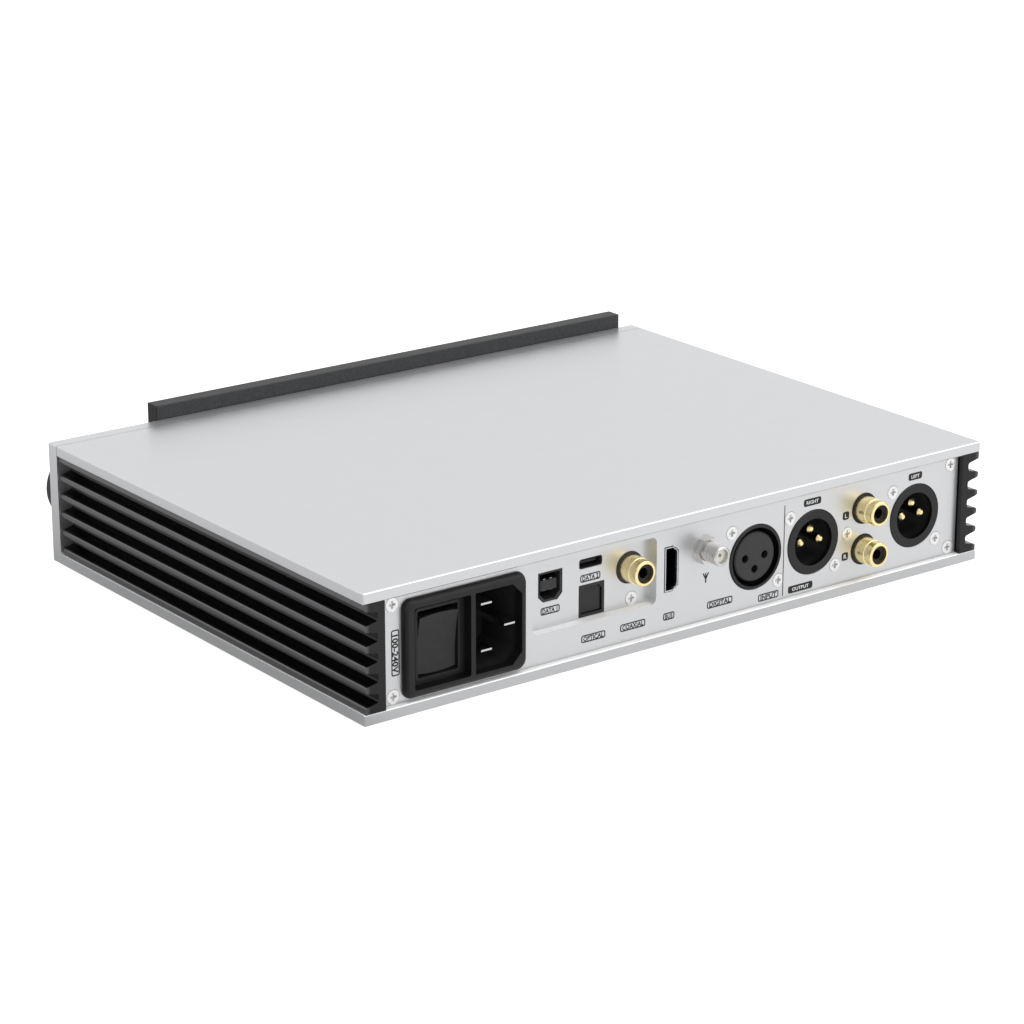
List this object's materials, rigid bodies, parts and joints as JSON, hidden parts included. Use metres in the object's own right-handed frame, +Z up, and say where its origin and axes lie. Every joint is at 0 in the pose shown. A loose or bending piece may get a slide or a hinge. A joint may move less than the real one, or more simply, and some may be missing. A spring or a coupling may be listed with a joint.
{
  "type": "desktop digital to analogue converter",
  "caption": "Slim desktop audio converter with finned metal sides, a display bar and volume knob in front, and digital and analogue sockets with a switched mains inlet behind.",
  "frame": {"origin": "on the surface that the feet stand on, under the middle of the whole object's box", "axes": "+X is the right-hand side seen from the front, the front faces -Y, the sockets face +Y, and +Z is up"},
  "size_m": [0.25, 0.2088, 0.0497],
  "materials": {
    "silver_anodised": "bead-blasted and clear anodised, satin",
    "black_anodised": "bead-blasted and black anodised, satin",
    "charcoal_anodised": "fine blasted and charcoal anodised",
    "dark_steel": "blackened",
    "bright_steel": "bright zinc plated",
    "foot_rubber": "matt",
    "display_glass": "polished black cover lens",
    "module_plastic": "dark moulded panel",
    "ribbon_film": "flexible film",
    "tin_plate": "tinned sheet",
    "contact_plastic": "natural moulded insulator",
    "circuit_board": "solder-masked laminate",
    "black_plastic": "finely sparked mould surface",
    "switch_plastic": "smooth moulded",
    "nickel_plate": "nickel plated",
    "gold_plate": "gold plated",
    "lead_sleeve": "insulated wire",
    "socket_metal": "black coated die casting",
    "socket_plastic": "moulded insulator",
    "chip_resin": "moulded resin",
    "capacitor_sleeve": "shrunk sleeve",
    "transformer_core": "varnished laminations",
    "copper_winding": "enamelled winding",
    "brass_post": "bare"
  },
  "bodies": {
    "case": {"base_shell": "silver_anodised", "top_plate": "silver_anodised", "rear_panel": "silver_anodised", "side_extrusion_left": "black_anodised", "side_extrusion_right": "black_anodised", "tie_screws": "dark_steel", "rear_panel_screws": "bright_steel", "feet": "foot_rubber", "foot_screws": "dark_steel", "display_frame": "charcoal_anodised", "display_glass": "display_glass", "display_module": "module_plastic", "display_screws": "dark_steel", "display_ribbon": "ribbon_film", "encoder_body": "tin_plate", "encoder_nut": "bright_steel", "front_board": "circuit_board", "inlet_housing": "black_plastic", "inlet_blades": "nickel_plate", "switch_body": "black_plastic", "usb_b_socket": "black_plastic", "usb_c_socket": "black_plastic", "optical_socket": "switch_plastic", "bus_port": "tin_plate", "bus_insert": "black_plastic", "phono_housings": "black_plastic", "phono_washers": "black_plastic", "phono_barrels": "gold_plate", "phono_inserts": "black_plastic", "antenna_jack": "nickel_plate", "antenna_nut": "nickel_plate", "antenna_insert": "contact_plastic", "antenna_lead": "lead_sleeve", "xlr_input_shell": "socket_metal", "xlr_input_insert": "socket_plastic", "xlr_output_shells": "socket_metal", "xlr_output_pins": "gold_plate", "connector_screws": "bright_steel", "input_board": "circuit_board", "output_board": "circuit_board", "board_links": "black_plastic", "main_board": "circuit_board", "main_chips": "chip_resin", "filter_capacitors": "capacitor_sleeve", "shield_can": "tin_plate", "power_board": "circuit_board", "power_transformer": "transformer_core", "bulk_capacitors": "capacitor_sleeve", "power_chokes": "copper_winding", "standoffs": "brass_post", "board_screws": "bright_steel", "mains_leads": "lead_sleeve", "power_harness": "lead_sleeve", "front_ribbon": "ribbon_film"},
    "rocker": {"mains_rocker": "switch_plastic"},
    "shutter": {"optical_shutter": "switch_plastic"},
    "plunger": {"encoder_plunger": "contact_plastic"},
    "knob": {"knob": "black_anodised", "knob_grub_screw": "dark_steel", "encoder_shaft": "bright_steel"}
  },
  "joints": [
    {"name": "rocker_tilt", "type": "hinge", "parent": "case", "child": "rocker", "pos_m": [0.0966, 0.08905, 0.0233], "axis": [1, 0, 0], "range_deg": [0, 10]},
    {"name": "shutter_swing", "type": "hinge", "parent": "case", "child": "shutter", "pos_m": [0.0361, 0.0907, 0.0256], "axis": [-1, 0, 0], "range_deg": [0, 85], "stiffness_Nm_per_rad": 0.0004, "springref_deg": -28.65},
    {"name": "knob_press", "type": "slide", "parent": "case", "child": "plunger", "axis": [0, 1, 0], "range_m": [0, 0.0005], "stiffness_N_per_m": 3000, "springref_m": -0.0005},
    {"name": "knob_spin", "type": "hinge", "parent": "plunger", "child": "knob", "pos_m": [0.105, -0.08885, 0.0228], "axis": [0, 1, 0], "continuous": true}
  ]
}
